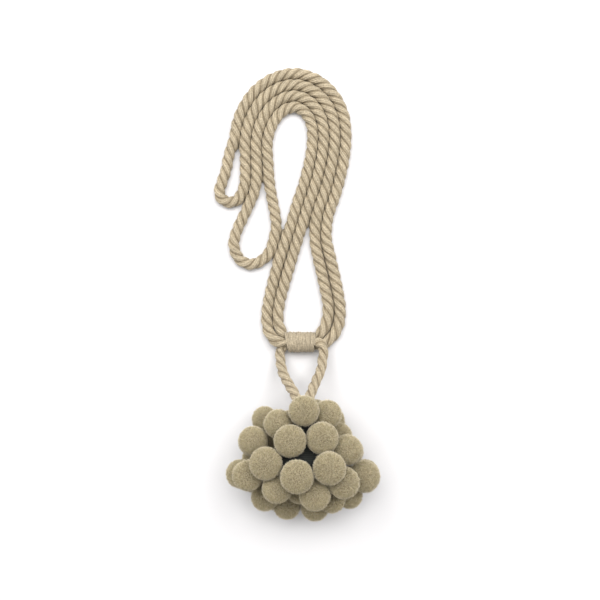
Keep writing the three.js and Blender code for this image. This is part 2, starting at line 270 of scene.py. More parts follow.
def through_binding(start_turn: float, begin: float, end: float) -> Array:
    """One cord's way along the binding, twisting with the others.

    Args:
        start_turn: its angle in the bundle at the left mouth, in degrees.
        begin: share of the binding's length where the stretch begins.
        end: share where it ends.

    Returns:
        Places along the stretch.
    """
    share = np.linspace(begin, end, BUNDLE_STATIONS + 1)
    turn = np.radians(start_turn + BUNDLE_TWIST * share)
    offset = np.column_stack(
        ((share - 0.5) * BINDING_LENGTH, BUNDLE_RADIUS * np.cos(turn), BUNDLE_RADIUS * np.sin(turn))
    )
    return offset + BINDING_CENTRE


def seat_on_core(aside: float) -> Array:
    """The last stretch of a leg of the tassel cord, square onto the top of the core."""
    end = CORE_TOP + np.array((aside, SEAT_GAP, -SEAT_LOWER))
    return np.array((end + np.array((0.0, SEAT_STRAIGHT, 0.0)), end))


@dataclass(frozen=True)
class Path:
    """A run of rings: their centres, two directions across each and the distance along the run."""

    centres: Array
    sides: Array
    overs: Array
    distance: Array

    # A stretch lies beside another where it is abreast of it and as high, and not next to it along the run
    ABREAST: ClassVar[float] = 0.0016
    SAME_HEIGHT: ClassVar[float] = 0.004
    NEXT_STRETCH: ClassVar[float] = 0.03
    # Room on a side that has nothing beside it, and over how many rings each way rooms are evened out
    FREE_ROOM: ClassVar[float] = 0.0075
    EASED_RINGS: ClassVar[int] = 5

    @classmethod
    def lying_along(cls, route: Array, step: float) -> "Path":
        """Runs rings along a route, upright to the surface.

        Args:
            route: the places that the run passes.
            step: how far apart the rings are, about.

        Returns:
            The run.
        """
        curve = catmull_rom(route)
        length = np.linalg.norm(np.diff(curve, axis=0), axis=1).sum()
        centres = along_curve(curve, round(length / step) + 1)
        tangent = unit(np.gradient(centres, axis=0))
        sides = unit(np.cross((0.0, 0.0, 1.0), tangent))
        return cls(centres, sides, np.cross(tangent, sides), np.linspace(0.0, length, len(centres)))

    @classmethod
    def wound_about(cls, centre: Array, across: Array, turn: Array, radius: Array) -> "Path":
        """Runs rings round an axis along X.

        Args:
            centre: middle of the axis.
            across: each ring's place along the axis.
            turn: each ring's angle round it.
            radius: each ring's distance from it.

        Returns:
            The run.
        """
        outwards = np.column_stack((np.zeros_like(turn), np.cos(turn), np.sin(turn)))
        centres = centre + outwards * radius[:, None]
        centres[:, 0] += across
        tangent = unit(np.gradient(centres, axis=0))
        steps = np.linalg.norm(np.diff(centres, axis=0), axis=1)
        return cls(centres, outwards, np.cross(tangent, outwards), np.concatenate(([0.0], np.cumsum(steps))))

    @property
    def length(self) -> float:
        """Length of the run."""
        return float(self.distance[-1])

    def rooms(self) -> Array:
        """Finds how much room each ring has on its two sides where the run lies beside itself.

        Returns:
            Half the distance to the next stretch, one a ring, on the left and on the right.
        """
        tangents = np.cross(self.sides, self.overs)
        apart = self.centres[None, :, :] - self.centres[:, None, :]
        aside = np.einsum("ijk,ik->ij", apart, self.sides)
        along = np.einsum("ijk,ik->ij", apart, tangents)
        beside = np.abs(along) < self.ABREAST
        beside &= np.abs(apart[:, :, 2]) < self.SAME_HEIGHT
        beside &= np.abs(self.distance[None, :] - self.distance[:, None]) > self.NEXT_STRETCH
        eased = 2 * self.EASED_RINGS + 1
        found = []
        for hand in (1.0, -1.0):
            room = np.where(beside & (hand * aside > 0.0), hand * aside / 2, self.FREE_ROOM).min(axis=1)
            padded = np.pad(room, self.EASED_RINGS, mode="edge")
            found.append(np.convolve(padded, np.full(eased, 1.0 / eased), mode="valid"))
        return np.array(found)

    def places(self, ring: Array, reach: Array, turn: Array) -> Array:
        """Finds points round the rings, lying on the surface where they would sink into it.

        Args:
            ring: each point's ring.
            reach: its distance from the ring's middle.
            turn: its angle there.

        Returns:
            The points, one a row.
        """
        points = self.centres[ring] + (reach * np.cos(turn))[:, None] * self.sides[ring]
        points = points + (reach * np.sin(turn))[:, None] * self.overs[ring]
        points[:, 2] = np.maximum(points[:, 2], 0.0)
        return points


@dataclass
class Piece:
    """A new piece of the object, made in a bmesh and finished as one object."""

    name: str
    slot: Slot
    replaced: tuple[str, ...]

    # Number that paints shade: 0 dark in grooves and creases, 1 light on crests
    PAINTED_SHADE: ClassVar[str] = "crest"
    UV: ClassVar[str] = "UVMap"

    def finished(self, bm: bmesh.types.BMesh, material: bpy.types.Material) -> bpy.types.Object:
        """Turns a bmesh into the piece's object, seated in the frame.

        Args:
            bm: the modelled shape, which is freed.
            material: its finish.

        Returns:
            The object.
        """
        mesh = bpy.data.meshes.new(self.name)
        bm.to_mesh(mesh)
        bm.free()
        return self.seated(mesh, material)

    def seated(self, mesh: bpy.types.Mesh, material: bpy.types.Material) -> bpy.types.Object:
        """Puts a mesh in the scene in place of the solids that it stands for.

        Args:
            mesh: the finished mesh.
            material: its finish.

        Returns:
            The object.
        """
        mesh.materials.append(material)
        mesh.shade_smooth()
        made = bpy.data.objects.new(self.name, mesh)
        bpy.context.scene.collection.objects.link(made)
        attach(made, BODY)
        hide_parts(*self.replaced)
        LOG.info("%s: %d faces for %s", self.name, len(mesh.polygons), ", ".join(self.replaced))
        return made

    def skin_tube(self, bm: bmesh.types.BMesh, path: Path, points: int, profile: Profile) -> None:
        """Adds a closed tube along a path, lying on the surface where it would sink into it.

        Args:
            bm: the bmesh that takes it.
            path: the tube's rings.
            points: how many points go round a ring.
            profile: gives reach, turn and crest, the painted shade that darkens the grooves, from the share
                round a ring and the ring's number.
        """
        if not bm.loops.layers.uv:
            bm.loops.layers.uv.new(self.UV)
        shade_layer = bm.verts.layers.float.get(self.PAINTED_SHADE) or bm.verts.layers.float.new(self.PAINTED_SHADE)
        rings = len(path.centres) - 1
        # A flat grid, whose two directions run from 0 to 1, is rolled up round the rings
        grid = bmesh.ops.create_grid(bm, x_segments=points, y_segments=rings, size=0.5, calc_uvs=True)
        made = grid["verts"]
        flat = np.array([vert.co[:2] for vert in made]) + 0.5
        ring = np.rint(flat[:, 1] * rings).astype(int)
        reach, turn, crest = profile(flat[:, 0], ring)
        places = path.places(ring, reach, turn)
        for vert, place, share in zip(made, places.tolist(), crest.tolist()):
            vert.co = place
            vert[shade_layer] = share
        uv_layer = bm.loops.layers.uv[self.UV]
        for vert in made:
            for loop in vert.link_loops:
                loop[uv_layer].uv.y *= path.length
        bmesh.ops.remove_doubles(bm, verts=made, dist=MERGED)
        open_edges = [edge for edge in bm.edges if edge.is_boundary]
        bmesh.ops.holes_fill(bm, edges=open_edges, sides=0)
        bmesh.ops.recalc_face_normals(bm, faces=bm.faces)


class NodeBoard:
    """Node tree of one material, with the few nodes that the finishes share."""

    # How many finer layers a noise pattern has, and where most of it lies
    FINE_DETAIL: ClassVar[float] = 3.0
    SOFT_DETAIL: ClassVar[float] = 2.0
    NOISE_SPAN: ClassVar[tuple[float, float]] = (0.25, 0.75)
    # A mix node's colour sockets
    MIX_COLOUR: ClassVar[int] = 6
    MIX_TINT: ClassVar[int] = 7
    MIX_RESULT: ClassVar[int] = 2

    def __init__(self, name: str) -> None:
        """Starts a material with its shader.

        Args:
            name: the material's name.
        """
        self.material = bpy.data.materials.new(name)
        self.material.use_nodes = True
        self.tree = self.material.node_tree
        self.shader = self.tree.nodes["Principled BSDF"]

    def set_shader(self, **values: float | tuple[float, ...]) -> None:
        """Sets constants on the shader's own sockets, named with underscores for spaces."""
        for name, value in values.items():
            self.shader.inputs[name.replace("_", " ").title()].default_value = value

    def link(self, source: bpy.types.NodeSocket, target: bpy.types.NodeSocket) -> None:
        """Links two sockets."""
        self.tree.links.new(source, target)

    def attribute(self, name: str) -> bpy.types.NodeSocket:
        """Reads a number that the mesh carries at its points.

        Args:
            name: the number's name.

        Returns:
            Its socket.
        """
        node = self.tree.nodes.new("ShaderNodeAttribute")
        node.attribute_name = name
        return node.outputs["Fac"]

    def coordinates(self, kind: str, scale: Point) -> bpy.types.NodeSocket:
        """Reads stretched texture coordinates.

        Args:
            kind: Object or UV.
            scale: stretch along each axis.

        Returns:
            The vector socket.
        """
        source = self.tree.nodes.new("ShaderNodeTexCoord")
        mapping = self.tree.nodes.new("ShaderNodeMapping")
        mapping.inputs["Scale"].default_value = scale
        self.link(source.outputs[kind], mapping.inputs["Vector"])
        return mapping.outputs["Vector"]

    def noise(self, vector: bpy.types.NodeSocket, scale: float, detail: float) -> bpy.types.NodeSocket:
        """Makes a noise pattern.

        Args:
            vector: its coordinates.
            scale: how fine it is.
            detail: how many finer layers it has.

        Returns:
            The noise, from 0 to 1.
        """
        node = self.tree.nodes.new("ShaderNodeTexNoise")
        node.inputs["Scale"].default_value = scale
        node.inputs["Detail"].default_value = detail
        self.link(vector, node.inputs["Vector"])
        return node.outputs["Fac"]

    def ramp(self, factor: bpy.types.NodeSocket, stops: list[tuple[float, Colour]]) -> bpy.types.NodeSocket:
        """Colours a number.

        Args:
            factor: the number, from 0 to 1.
            stops: place and colour of each stop.

        Returns:
            The colour socket.
        """
        node = self.tree.nodes.new("ShaderNodeValToRGB")
        elements = node.color_ramp.elements
        while len(elements) < len(stops):
            elements.new(0.5)
        for element, (place, colour) in zip(elements, stops):
            element.position = place
            element.color = (*colour, 1.0)
        self.link(factor, node.inputs["Fac"])
        return node.outputs["Color"]

    def tinted(
        self, colour: bpy.types.NodeSocket, factor: bpy.types.NodeSocket, span: tuple[float, float]
    ) -> bpy.types.NodeSocket:
        """Lightens and darkens a colour by a noise pattern.

        Args:
            colour: the colour.
            factor: the pattern, from 0 to 1.
            span: brightness where the pattern is low and where it is high.

        Returns:
            The tinted colour.
        """
        stops = [(place, (bright,) * 3) for place, bright in zip(self.NOISE_SPAN, span)]
        return self.multiplied(colour, self.ramp(factor, stops))

    def multiplied(self, colour: bpy.types.NodeSocket, tint: bpy.types.NodeSocket) -> bpy.types.NodeSocket:
        """Multiplies two colours.

        Args:
            colour: the one.
            tint: the other.

        Returns:
            Their product.
        """
        node = self.tree.nodes.new("ShaderNodeMix")
        node.data_type = "RGBA"
        node.blend_type = "MULTIPLY"
        node.inputs["Factor"].default_value = 1.0
        self.link(colour, node.inputs[self.MIX_COLOUR])
        self.link(tint, node.inputs[self.MIX_TINT])
        return node.outputs[self.MIX_RESULT]

    def bump(self, height: bpy.types.NodeSocket, strength: float, distance: float) -> None:
        """Raises the surface by a pattern.

        Args:
            height: the pattern.
            strength: how much of it shows.
            distance: how high it stands.
        """
        node = self.tree.nodes.new("ShaderNodeBump")
        node.inputs["Strength"].default_value = strength
        node.inputs["Distance"].default_value = distance
        if self.shader.inputs["Normal"].is_linked:
            self.link(self.shader.inputs["Normal"].links[0].from_socket, node.inputs["Normal"])
        self.link(height, node.inputs["Height"])
        self.link(node.outputs["Normal"], self.shader.inputs["Normal"])


WARM_SHEEN = (1.0, 0.92, 0.78, 1.0)
PILE_SHEEN = (1.0, 0.9, 0.7, 1.0)
UNSTRETCHED = (1.0, 1.0, 1.0)


@dataclass(frozen=True)
class YarnFinish:
    """Soft yarn: darker in its grooves as painted shade, streaked along its run, with a low sheen."""

    name: str
    # The groove colour is painted shade; flank and crest are the lit yarn
    groove: Colour
    flank: Colour
    crest: Colour
    streaks: Point
    roughness: float = 0.72
    specular: float = 0.25
    sheen: float = 0.25
    sheen_roughness: float = 0.45
    flank_place: float = 0.4
    streak_tint: tuple[float, float] = (0.7, 1.26)
    streak_strength: float = 0.8
    streak_height: float = 0.0008
    fibre_scale: float = 800.0
    fibre_tint: tuple[float, float] = (0.64, 1.3)
    fibre_strength: float = 0.6
    fibre_height: float = 0.0005
    patch_scale: float = 90.0
    patch_tint: tuple[float, float] = (0.92, 1.07)

    def material(self) -> bpy.types.Material:
        """Makes the material.

        Returns:
            The material.
        """
        board = NodeBoard(self.name)
        board.set_shader(
            roughness=self.roughness,
            sheen_weight=self.sheen,
            sheen_roughness=self.sheen_roughness,
            sheen_tint=WARM_SHEEN,
        )
        board.shader.inputs["Specular IOR Level"].default_value = self.specular
        # The crest number paints shade into the grooves
        stops = [(0.0, self.groove), (self.flank_place, self.flank), (1.0, self.crest)]
        colour = board.ramp(board.attribute(Piece.PAINTED_SHADE), stops)
        streaks = board.noise(board.coordinates("UV", self.streaks), 1.0, board.FINE_DETAIL)
        even = board.coordinates("Object", UNSTRETCHED)
        fibres = board.noise(even, self.fibre_scale, board.FINE_DETAIL)
        patches = board.noise(even, self.patch_scale, board.SOFT_DETAIL)
        colour = board.tinted(colour, streaks, self.streak_tint)
        colour = board.tinted(colour, fibres, self.fibre_tint)
        colour = board.tinted(colour, patches, self.patch_tint)
        board.link(colour, board.shader.inputs["Base Color"])
        board.bump(streaks, self.streak_strength, self.streak_height)
        board.bump(fibres, self.fibre_strength, self.fibre_height)
        return board.material


@dataclass(frozen=True)
class PileFinish:
    """Clipped pile: painted shade darkens it towards the roots, light at the tips, a little different from
    tuft to tuft.
    """

    name: str
    # Painted shade deep in the pile at the roots, rising to the lit tips
    root: Colour
    middle: Colour
    tip: Colour
    lots: tuple[tuple[float, Colour], ...]
    roughness: float = 0.85
    specular: float = 0.2
    sheen: float = 1.0
    sheen_roughness: float = 0.5
    middle_place: float = 0.55
    patch_scale: float = 260.0
    patch_tint: tuple[float, float] = (0.9, 1.08)

    # Number from 0 at the roots, in painted shade, to 1 at the tips
    SHADE_BY_DEPTH: ClassVar[str] = "tip"
    LOT: ClassVar[str] = "lot"

    def material(self) -> bpy.types.Material:
        """Makes the material.

        Returns:
            The material.
        """
        board = NodeBoard(self.name)
        board.set_shader(
            roughness=self.roughness,
            sheen_weight=self.sheen,
            sheen_roughness=self.sheen_roughness,
            sheen_tint=PILE_SHEEN,
        )
        board.shader.inputs["Specular IOR Level"].default_value = self.specular
        # Painted shade darkens the pile towards its roots
        stops = [(0.0, self.root), (self.middle_place, self.middle), (1.0, self.tip)]
        colour = board.ramp(board.attribute(self.SHADE_BY_DEPTH), stops)
        colour = board.multiplied(colour, board.ramp(board.attribute(self.LOT), list(self.lots)))
        even = board.coordinates("Object", UNSTRETCHED)
        patches = board.noise(even, self.patch_scale, board.SOFT_DETAIL)
        colour = board.tinted(colour, patches, self.patch_tint)
        board.link(colour, board.shader.inputs["Base Color"])
        return board.material


# Each groove colour is painted shade between strands, plies or wound turns
ROPE_FINISH = YarnFinish(
    name="rope_yarn",
    groove=(0.19, 0.145, 0.088),
    flank=(0.39, 0.321, 0.217),
    crest=(0.506, 0.425, 0.298),
    streaks=(48.0, 170.0, 1.0),
)
BINDING_FINISH = YarnFinish(
    name="binding_yarn",
    groove=(0.14, 0.11, 0.071),
    flank=(0.38, 0.317, 0.221),
    crest=(0.5, 0.424, 0.305),
    streaks=(6.0, 500.0, 1.0),
)
CORE_FINISH = YarnFinish(
    name="core_yarn",
    groove=(0.008, 0.009, 0.008),
    flank=(0.016, 0.018, 0.016),
    crest=(0.024, 0.026, 0.023),
    streaks=(60.0, 12.0, 1.0),
    roughness=0.9,
    sheen=0.05,
)
PILE_FINISH = PileFinish(
    name="pompom_pile",
    root=(0.148, 0.122, 0.073),
    middle=(0.365, 0.31, 0.191),
    tip=(0.535, 0.465, 0.293),
    lots=(
        (0.0, (0.6, 0.54, 0.48)),
        (0.3, (0.93, 0.93, 0.88)),
        (0.7, (1.04, 1.04, 1.0)),
        (1.0, (1.3, 1.27, 1.25)),
    ),
)


@dataclass
class TwistedCord(Piece):
    """A cord of three soft strands twisted left-hand, each of fine yarns that show as ridges.

    It is squeezed and laid more loosely near the binding, and pressed flat where a run lies beside it.
    """

    route: Array = field(default_factory=lambda: np.zeros((0, 3)))
    step: float = 0.0015
    points_per_strand: int = 26
    strand_offset: float = 0.34
    strand_radius: float = 0.66
    fullness: float = 1.1
    squeeze_inside: float = SQUEEZE_INSIDE
    squeeze_outside: float = SQUEEZE_OUTSIDE
    lay: float = CORD_LAY
    slack_lay: float = 0.037
    slack_inside: float = 0.016
    slack_outside: float = 0.045
    # Rooms are in radii; a side begins and is full at a share of the way out from the cord's middle
    touching_within: float = 1.13
    free_beyond: float = 1.22
    least_room: float = 0.9
    side_begins: float = 0.5
    side_full: float = 0.75
    pressed_by: float = 0.35
    yarns: int = 7
    yarn_lay: float = 0.11
    yarn_ridge: float = 0.0004
    # Painted shade along the lines between the yarns, and how sharply it falls off
    yarn_shade: float = 0.7
    shade_falloff: float = 1.5
    # Each swell's length along the cord and its shift from strand to strand
    swells: tuple[tuple[float, float], ...] = ((0.031, 2.1), (0.0137, 1.3))
    unevenness: float = 0.02
    fibres: int = 6000
    fibre_width: float = 0.00007
    fibre_rise: float = 0.0005
    fibre_sunk: float = 1 / 3
    fibre_spread: tuple[float, float] = (0.2, 1.0)
    fibre_sway: float = 0.03
    fibre_rings: tuple[int, ...] = (-2, -1, 1, 2)
    bare_rings: int = 8

    def radii(self, path: Path) -> Array:
        """Radius of the cord at each ring, squeezed in the binding.

        Args:
            path: the cord's rings.

        Returns:
            One radius a ring.
        """
        away = np.linalg.norm(path.centres - BINDING_CENTRE, axis=1)
        ease = smoothstep(away, self.squeeze_inside, self.squeeze_outside)
        full_diameter = CORD_DIAMETER * self.fullness
        return (SQUEEZED_DIAMETER + (full_diameter - SQUEEZED_DIAMETER) * ease) / 2

    def turns(self, path: Path) -> Array:
        """How far the strands have turned at each ring, less quickly close to the binding.

        Args:
            path: the cord's rings.

        Returns:
            One number of turns a ring.
        """
        away = np.linalg.norm(path.centres - BINDING_CENTRE, axis=1)
        ease = smoothstep(away, self.slack_inside, self.slack_outside)
        lay = self.slack_lay + (self.lay - self.slack_lay) * ease
        return np.cumsum(np.gradient(path.distance) / lay)

    def profile(self, path: Path) -> Profile:
        """Shapes the strands on the rings of a path.

        Args:
            path: the cord's rings.

        Returns:
            A function of the share round a ring and the ring's number.
        """
        radii = self.radii(path)
        turns = self.turns(path)
        rooms = path.rooms() / radii
        groove = math.pi / CORD_STRANDS
        lowest = self.strand_offset * math.cos(groove)
        lowest += math.sqrt(self.strand_radius**2 - (self.strand_offset * math.sin(groove)) ** 2)

        def shaped(around: Array, ring: Array) -> tuple[Array, Array, Array]:
            """Gives each point its reach, turn and crest.

            Args:
                around: each point's share of the way round its ring.
                ring: its ring's number.

            Returns:
                Its distance from the ring's middle, its angle there and how light it is painted, with
                painted shade in the grooves.
            """
            strand = np.floor(around * CORD_STRANDS) % CORD_STRANDS
            aside = ((around * CORD_STRANDS) % 1.0 - 0.5) * math.tau / CORD_STRANDS
            bulge = np.sqrt(self.strand_radius**2 - (self.strand_offset * np.sin(aside)) ** 2)
            reach = self.strand_offset * np.cos(aside) + bulge
            own_turn = np.arctan2(reach * np.sin(aside), reach * np.cos(aside) - self.strand_offset)
            run = path.distance[ring]
            ridges = np.abs(np.cos(self.yarns / 2 * (own_turn - math.tau * run / self.yarn_lay)))
            swell = sum(np.sin(math.tau * run / wave + shift * strand) for wave, shift in self.swells)
            # Painted shade: light on a strand's crest, darker down into the grooves between strands
            crest = np.clip((reach - lowest) / (1.0 - lowest), 0.0, 1.0)
            turn = math.tau * (around - 0.5 / CORD_STRANDS - turns[ring])
            room = np.where(np.cos(turn) > 0.0, rooms[0, ring], rooms[1, ring])
            room = np.maximum(room, self.least_room)
            level = np.abs(np.cos(turn))
            touching = 1.0 - smoothstep(room, self.touching_within, self.free_beyond)
            touching = touching * smoothstep(level, self.side_begins, self.side_full)
            pressed = touching * smoothstep(-np.sin(turn), 0.0, self.pressed_by)
            limit = room / np.maximum(level, self.side_begins)
            reach = reach * (1.0 + self.unevenness * swell / len(self.swells))
            reach = np.minimum(reach + (limit - reach) * pressed, limit)
            reach = radii[ring] * reach - self.yarn_ridge * (1.0 - ridges) * (1.0 - pressed)
            # Painted shade also darkens the lines between the yarns
            return reach, turn, crest * (1.0 - self.yarn_shade * (1.0 - ridges) ** self.shade_falloff)

        return shaped

    def build(self, material: bpy.types.Material) -> bpy.types.Object:
        """Args:
            material: its finish.

        Returns:
            The cord's object.
        """
        path = Path.lying_along(self.route, self.step)
        bm = bmesh.new()
        self.skin_tube(bm, path, CORD_STRANDS * self.points_per_strand, self.profile(path))
        self.stray_fibres(bm, path)
        made = self.finished(bm, material)
        LOG.info("%s: %.3f m long", self.name, path.length)
        return made

    def stray_fibres(self, bm: bmesh.types.BMesh, path: Path) -> None:
        """Adds fine fibres that lie along the strands and lift off them at their ends.

        Args:
            bm: the cord's bmesh.
            path: the cord's rings.
        """
        rng = np.random.default_rng(self.fibres)
        profile = self.profile(path)
        around = rng.uniform(0.0, 1.0, self.fibres)
        ring = rng.integers(self.bare_rings, len(path.centres) - self.bare_rings, self.fibres)
        reach, turn, _ = profile(around, ring)
        roots = path.places(ring, reach - self.fibre_rise * self.fibre_sunk, turn)
        ahead = ring + rng.choice(self.fibre_rings, self.fibres)
        reach, turn, _ = profile((around + rng.normal(0.0, self.fibre_sway, self.fibres)) % 1.0, ahead)
        rise = self.fibre_rise * rng.uniform(*self.fibre_spread, self.fibres)
        ends = path.places(ahead, reach + rise, turn)
        points, faces = spikes(rng, roots, ends, np.full((self.fibres, 1), self.fibre_width))
        points[:, 2] = np.maximum(points[:, 2], 0.0)
        shade_layer = bm.verts.layers.float[self.PAINTED_SHADE]
        verts = [bm.verts.new(point) for point in points.tolist()]
        for vert in verts:
            vert[shade_layer] = 1.0
        for corners in faces.tolist():
            bm.faces.new([verts[corner] for corner in corners])


@dataclass
class EmbraceRope(TwistedCord):
    """One rope: a tail, the inner arm, the middle through the binding, the outer arm and the other tail."""

    @classmethod
    def laid_out(cls) -> "EmbraceRope":
        """Lays the rope along its route.

        Returns:
            The rope, not built yet.
        """
        route = np.vstack(
            (
                through_binding(ROPE_ENDS_TURN, LEFT_END_SHARE, 0.0),
                lying(TAIL_4),
                over_arch(-1.5, Around.FORWARD),
                lying(INNER_LOOP),
                over_arch(-0.5, Around.BACK),
                lying(TAIL_3)[::-1],
                through_binding(ROPE_MIDDLE_TURN, 0.0, 1.0),
                lying(TAIL_1),
                over_arch(1.5, Around.FORWARD),
                lying(OUTER_LOOP),
                over_arch(0.5, Around.BACK),
                lying(TAIL_2)[::-1],
                through_binding(ROPE_ENDS_TURN, 1.0, RIGHT_END_SHARE),
            )
        )
        return cls("twisted_embrace_rope", Slot.ROPE, ("embrace_rope",), route=route)


@dataclass
class TasselCord(TwistedCord):
    """The short cord through the binding whose two legs carry the tassel, a little slacker than the rope."""

    step: float = 0.001
    fullness: float = 0.96
    squeeze_inside: float = 0.0095
    squeeze_outside: float = 0.015
    lay: float = 0.031
    slack_lay: float = 0.031
    fibres: int = 700

    @classmethod
    def laid_out(cls) -> "TasselCord":
        """Lays the cord along its route.

        Returns:
            The cord, not built yet.
        """
        route = np.vstack(
            (
                seat_on_core(-SEAT_ASIDE)[::-1],
                lying(LEG_LEFT)[::-1],
                through_binding(TASSEL_TURN, 0.0, 1.0),
                lying(LEG_RIGHT),
                seat_on_core(SEAT_ASIDE),
            )
        )
        return cls("twisted_tassel_cord", Slot.ROPE, ("tassel_cord",), route=route)


@dataclass(frozen=True)
class Winding:
    """A stretch of yarn wound round the bundle.

    Attributes:
        begin: where it begins along the binding, from its middle.
        end: where it ends.
        start_turn: its angle at the beginning, in turns from the side of the arch.
        turns: how often it goes round, below zero the other way.
        lift: how far it lies over the first layer, in yarn radii.
    """

    begin: float
    end: float
    start_turn: float
    turns: float
    lift: float


@dataclass(frozen=True)
class Ripple:
    """A small regular unevenness along a winding."""

    height: float
    waves: float
    start: float

    def at(self, turn: Array) -> Array:
        """How high the ripple stands at each angle."""
        return self.height * np.sin(turn * self.waves + self.start)


@dataclass
class Binding(Piece):
    """Fine two-ply yarn wound round the bundle, with a few turns slanting over the first ones."""

    left_end: float = -0.0138
    right_end: float = 0.0117
    left_slant: float = 0.0017
    turns: float = 25.3
    yarn_radius: float = 0.00059
    outer_radius: float = 0.0085
    ply_lay: float = 0.0024
    ply_ridge: float = 0.16
    # Painted shade between the plies
    ply_shade: float = 0.55
    step: float = 0.0005
    points: int = 8
    waver: tuple[Ripple, ...] = (Ripple(0.0001, 0.73, 0.0), Ripple(0.00009, 1.31, 1.0))
    swell: tuple[Ripple, ...] = (Ripple(0.00011, 0.61, 0.5), Ripple(0.00009, 1.37, 0.0))
    over_turns: tuple[Winding, ...] = (
        Winding(-0.0138, -0.001, 0.55, 1.1, 0.8),
        Winding(-0.0128, 0.0005, 0.95, -1.2, 0.8),
        Winding(-0.0123, -0.004, 0.3, 2.2, 0.8),
        Winding(-0.009, -0.001, 0.8, 3.3, 0.56),
        Winding(-0.002, 0.006, 0.4, -2.4, 0.48),
        Winding(0.003, 0.0105, 0.1, 2.7, 0.56),
    )

    def wound(self, winding: Winding) -> Path:
        """Winds the yarn along part of the binding.

        Args:
            winding: where it goes.

        Returns:
            The yarn's rings.
        """
        radius = self.outer_radius - self.yarn_radius + self.yarn_radius * winding.lift
        count = round(abs(winding.turns) * math.tau * radius / self.step)
        turn = np.linspace(winding.start_turn, winding.start_turn + winding.turns, count) * math.tau
        waver = sum(ripple.at(turn) for ripple in self.waver)
        swell = sum(ripple.at(turn) for ripple in self.swell)
        across = np.linspace(winding.begin, winding.end, count)
        share = (across - self.left_end) / (self.right_end - self.left_end)
        slant = self.left_slant * (1.0 - share) ** 2 * (1.0 - np.cos(turn))
        return Path.wound_about(BINDING_CENTRE, across + slant + waver, turn, radius + swell)

    def profile(self, path: Path) -> Profile:
        """Shapes the two plies of the yarn.

        Args:
            path: the yarn's rings.

        Returns:
            A function of the share round a ring and the ring's number.
        """

        def shaped(around: Array, ring: Array) -> tuple[Array, Array, Array]:
            """Gives each point its reach, turn and crest.

            Args:
                around: each point's share of the way round its ring.
                ring: its ring's number.

            Returns:
                Its distance from the ring's middle, its angle there and how light it is painted, with
                painted shade on the yarn's side towards the bundle and between its plies.
            """
            turn = math.tau * around
            ply = np.abs(np.cos(turn - math.tau * path.distance[ring] / self.ply_lay))
            # Painted shade: darker on the side of the yarn that faces the bundle
            outward_light = (1.0 + np.cos(turn)) / 2
            reach = self.yarn_radius * (1.0 - self.ply_ridge * (1.0 - ply))
            return reach, turn, outward_light * (1.0 - self.ply_shade * (1.0 - ply))

        return shaped

    def build(self, material: bpy.types.Material) -> bpy.types.Object:
        """Models the binding.

        Args:
            material: its finish.

        Returns:
            The binding's object.
        """
        bm = bmesh.new()
        first_layer = Winding(self.left_end, self.right_end, 0.0, self.turns, 0.0)
        for winding in (first_layer, *self.over_turns):
            path = self.wound(winding)
            self.skin_tube(bm, path, self.points, self.profile(path))
        return self.finished(bm, material)


@dataclass
class TasselCore(Piece):
    """The wound dark form that the pompoms are sewn to."""

    outline: tuple[tuple[float, float], ...] = (
        (0.0, 0.0105), (0.008, 0.009), (0.016, 0.01), (0.026, 0.017), (0.034, 0.024), (0.041, 0.029),
        (0.046, 0.0275), (0.051, 0.02), (0.054, 0.012), (0.056, 0.0),
    )
    yarn_pitch: float = 0.0014
    yarn_ridge: float = 0.0004
    points_per_yarn: int = 4
    steps: int = 64

    def build(self, material: bpy.types.Material) -> bpy.types.Object:
        """Models the core as a ridged outline spun about its axis.

        Args:
            material: its finish.

        Returns:
            The core's object.
        """
        down, radius = np.array(self.outline).T
        count = round(down[-1] / self.yarn_pitch) * self.points_per_yarn
        stations = np.linspace(0.0, down[-1], count + 1)
        # The wound turns' ridges; the same number paints shade between the turns
        crest = np.abs(np.sin(math.pi * stations / self.yarn_pitch))
        reach = np.maximum(np.interp(stations, down, radius) - self.yarn_ridge * (1.0 - crest), 0.0)
        reach[-1] = 0.0
        bm = bmesh.new()
        shade_layer = bm.verts.layers.float.new(self.PAINTED_SHADE)
        bm.loops.layers.uv.new(self.UV)
        outline = [bm.verts.new((0.0, 0.0, 0.0))]
        outline += [bm.verts.new((r, -d, 0.0)) for r, d in zip(reach.tolist(), stations.tolist())]
        for vert, share in zip(outline[1:], crest.tolist()):
            vert[shade_layer] = share
        edges = [bm.edges.new(pair) for pair in zip(outline, outline[1:])]
        bmesh.ops.spin(
            bm, geom=outline + edges, cent=(0.0, 0.0, 0.0), axis=(0.0, 1.0, 0.0),
            angle=math.tau, steps=self.steps, use_merge=True,
        )
        bmesh.ops.remove_doubles(bm, verts=bm.verts, dist=MERGED)
        bmesh.ops.recalc_face_normals(bm, faces=bm.faces)
        bmesh.ops.translate(bm, verts=bm.verts, vec=Vector(CORE_TOP.tolist()))
        return self.finished(bm, material)


